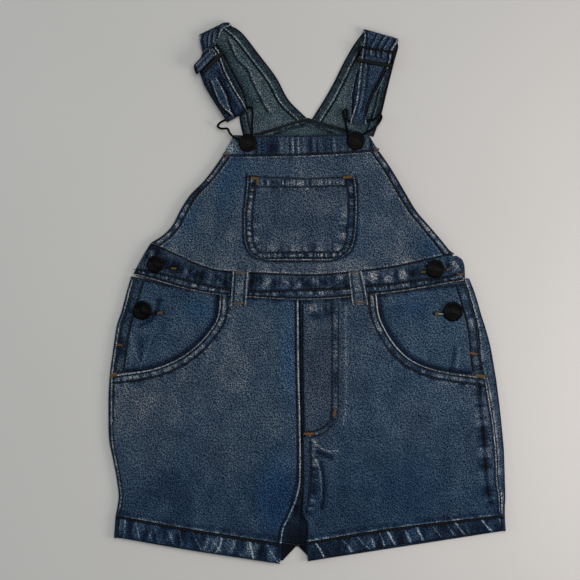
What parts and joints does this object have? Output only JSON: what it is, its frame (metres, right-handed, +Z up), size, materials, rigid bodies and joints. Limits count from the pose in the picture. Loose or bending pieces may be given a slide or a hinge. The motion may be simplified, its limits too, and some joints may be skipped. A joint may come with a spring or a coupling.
{
  "type": "toddler denim shortalls",
  "caption": "Toddler's denim shortalls laid flat, front up: bib with pocket, waistband, short legs, fly, folded straps with sliders, wire buckles and buttons.",
  "frame": {"origin": "on the surface that the garment lies on, under the middle of its bounding box", "axes": "+X to the right of the garment as it is looked at, +Y from the hems to the shoulder straps, +Z up from the surface"},
  "size_m": [0.3173, 0.4338, 0.0102],
  "materials": {
    "denim": "washed mid blue twill",
    "denim_dark": "darker blue twill with pale worn edges",
    "denim_inside": "pale grey-blue reverse of the twill",
    "black_metal": "black, satin"
  },
  "bodies": {
    "root": {"bib_front": "denim", "bib_top_band": "denim_dark", "bib_edge_left": "denim_dark", "bib_edge_right": "denim_dark", "bib_pocket": "denim", "waistband_front": "denim_dark", "belt_loop_left": "denim", "belt_loop_right": "denim", "leg_front_left": "denim", "leg_front_right": "denim", "pocket_facing_left": "denim", "pocket_facing_right": "denim", "placket_left": "denim_dark", "placket_right": "denim_dark", "fly_flap": "denim_dark", "hem_front_left": "denim_dark", "hem_front_right": "denim_dark", "back_bib": "denim_inside", "back_waist": "denim", "leg_back_left": "denim", "leg_back_right": "denim", "hem_back_left": "denim_dark", "hem_back_right": "denim_dark", "strap_left_back": "denim_inside", "strap_right_back": "denim_inside", "strap_left_front": "denim", "strap_right_front": "denim", "slider_left": "black_metal", "slider_right": "black_metal", "buckle_left": "black_metal", "buckle_right": "black_metal", "bib_button_left": "black_metal", "bib_button_right": "black_metal", "waist_button_left": "black_metal", "waist_button_right": "black_metal", "hip_button_left": "black_metal", "hip_button_right": "black_metal"}
  },
  "joints": []
}
